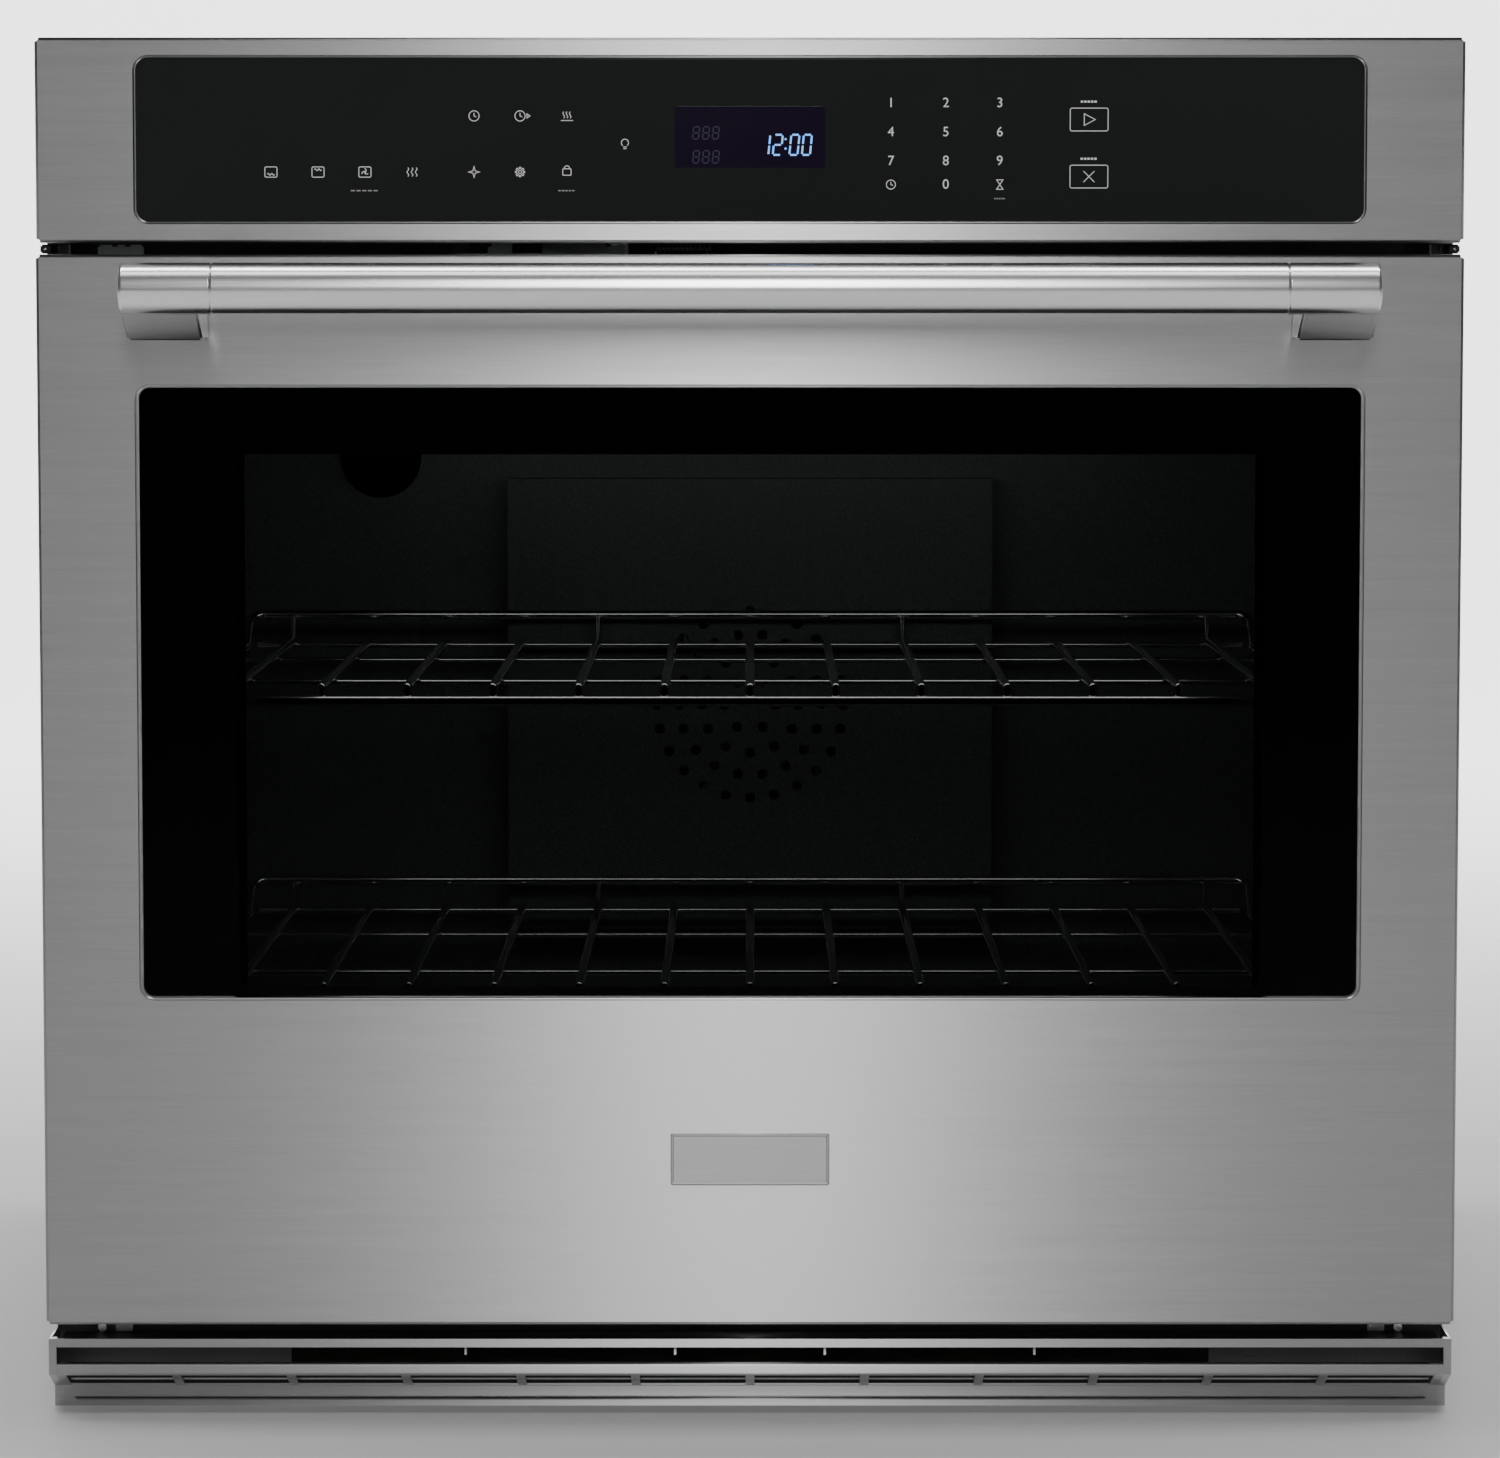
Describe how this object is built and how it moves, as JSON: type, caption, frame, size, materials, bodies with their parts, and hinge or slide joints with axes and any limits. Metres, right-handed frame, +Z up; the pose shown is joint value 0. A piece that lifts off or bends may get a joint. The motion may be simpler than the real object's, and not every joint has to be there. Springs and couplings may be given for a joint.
{
  "type": "wall oven",
  "caption": "Built-in electric oven with brushed steel fascia, drop-down windowed door with bar handle, touch-glass controls, wire racks in an insulated cavity and a slotted bottom vent.",
  "frame": {"origin": "middle of the underside of the bounding box, on the plane the skid rails stand on", "axes": "+X to the right as the cook faces the oven, +Y from the cook into the cabinet, +Z up"},
  "size_m": [0.756, 0.68, 0.738],
  "materials": {
    "stainless": "horizontal brushed grain, satin",
    "black_glass": "polished black printed glass",
    "clear_glass": "clear polished glass",
    "enamel": "speckled dark porcelain enamel",
    "galvanised": "spangled zinc coating",
    "dark_frame": "dark grey satin paint",
    "mineral_wool": "loose matted fibre",
    "gasket_braid": "braided glass-fibre tube",
    "chrome_wire": "bright plated wire",
    "element_sheath": "matt oxidised sheath",
    "bare_steel": "plain satin",
    "spring_steel": "oiled wire",
    "fastener": "bright plated",
    "motor_case": "satin",
    "aluminium": "as pressed",
    "ceramic": "glazed white",
    "black_plastic": "fine texture",
    "white_plastic": "fine texture",
    "circuit_board": "green solder mask"
  },
  "bodies": {
    "chassis": {"bake_element": "element_sheath", "base_pan": "galvanised", "blower_housing": "galvanised", "blower_motor": "motor_case", "broil_element": "element_sheath", "cavity_insulation": "mineral_wool", "cavity_liner": "enamel", "conduit_connector": "aluminium", "control_board": "circuit_board", "control_carrier": "black_plastic", "control_fascia": "stainless", "control_glass": "black_glass", "convection_baffle": "enamel", "convection_element": "element_sheath", "convection_motor": "motor_case", "cooling_duct": "galvanised", "display_module": "black_plastic", "door_gasket": "gasket_braid", "door_switch": "white_plastic", "front_frame": "dark_frame", "hinge_arms": "bare_steel", "junction_box": "galvanised", "junction_cover": "galvanised", "lamp_bulb": "clear_glass", "lamp_lens": "clear_glass", "lamp_socket": "ceramic", "latch_bracket": "galvanised", "latch_motor": "motor_case", "latch_spring": "spring_steel", "rack_guides": "chrome_wire", "rear_panel": "galvanised", "side_panel_left": "galvanised", "side_panel_right": "galvanised", "temperature_probe": "bare_steel", "top_panel": "galvanised", "trim_screws": "fastener", "vent_cheeks": "stainless", "vent_louvre": "stainless", "vent_lower_strip": "stainless", "vent_top_rail": "stainless"},
    "door": {"door_skin": "stainless", "door_liner": "enamel", "outer_glass": "black_glass", "middle_glass": "clear_glass", "inner_glass": "clear_glass", "glass_pack_frame": "galvanised", "door_insulation": "mineral_wool", "hinge_channels": "bare_steel", "hinge_pins": "bare_steel", "hinge_springs": "spring_steel", "handle_bar": "stainless", "handle_brackets": "stainless", "handle_bolts": "fastener", "door_badge": "stainless"},
    "rack_upper": {"rack_upper": "chrome_wire"},
    "rack_lower": {"rack_lower": "chrome_wire"},
    "convection_fan": {"convection_fan": "bare_steel"},
    "blower_wheel": {"blower_wheel": "aluminium"},
    "latch_hook": {"latch_hook": "bare_steel"},
    "switch_plunger": {"switch_plunger": "white_plastic"}
  },
  "joints": [
    {"name": "door_hinge", "type": "hinge", "parent": "chassis", "child": "door", "pos_m": [0, -0.2565, 0.073], "axis": [1, 0, 0], "range_deg": [0, 88], "stiffness_Nm_per_rad": 14, "springref_deg": -20.05},
    {"name": "rack_upper_slide", "type": "slide", "parent": "chassis", "child": "rack_upper", "axis": [0, -1, 0], "range_m": [0, 0.28]},
    {"name": "rack_lower_slide", "type": "slide", "parent": "chassis", "child": "rack_lower", "axis": [0, -1, 0], "range_m": [0, 0.28]},
    {"name": "convection_fan_spin", "type": "hinge", "parent": "chassis", "child": "convection_fan", "pos_m": [0, 0.2435, 0.3475], "axis": [0, 1, 0], "continuous": true},
    {"name": "cooling_blower_spin", "type": "hinge", "parent": "chassis", "child": "blower_wheel", "pos_m": [0, 0.1935, 0.65], "axis": [0, 0, 1], "continuous": true},
    {"name": "latch_hook_swing", "type": "hinge", "parent": "chassis", "child": "latch_hook", "pos_m": [-0.085, -0.2005, 0.6045], "axis": [0, 0, 1], "range_deg": [0, 12], "stiffness_Nm_per_rad": 0.05},
    {"name": "door_switch_travel", "type": "slide", "parent": "chassis", "child": "switch_plunger", "axis": [0, -1, 0], "range_m": [0, 0.0055]}
  ],
  "couplings": [
    {"joint": "rack_upper_slide", "follows": "door_hinge", "m_per_rad": 0.18},
    {"joint": "rack_lower_slide", "follows": "door_hinge", "m_per_rad": 0.18},
    {"joint": "door_switch_travel", "follows": "door_hinge", "m_per_rad": 0.0033}
  ]
}
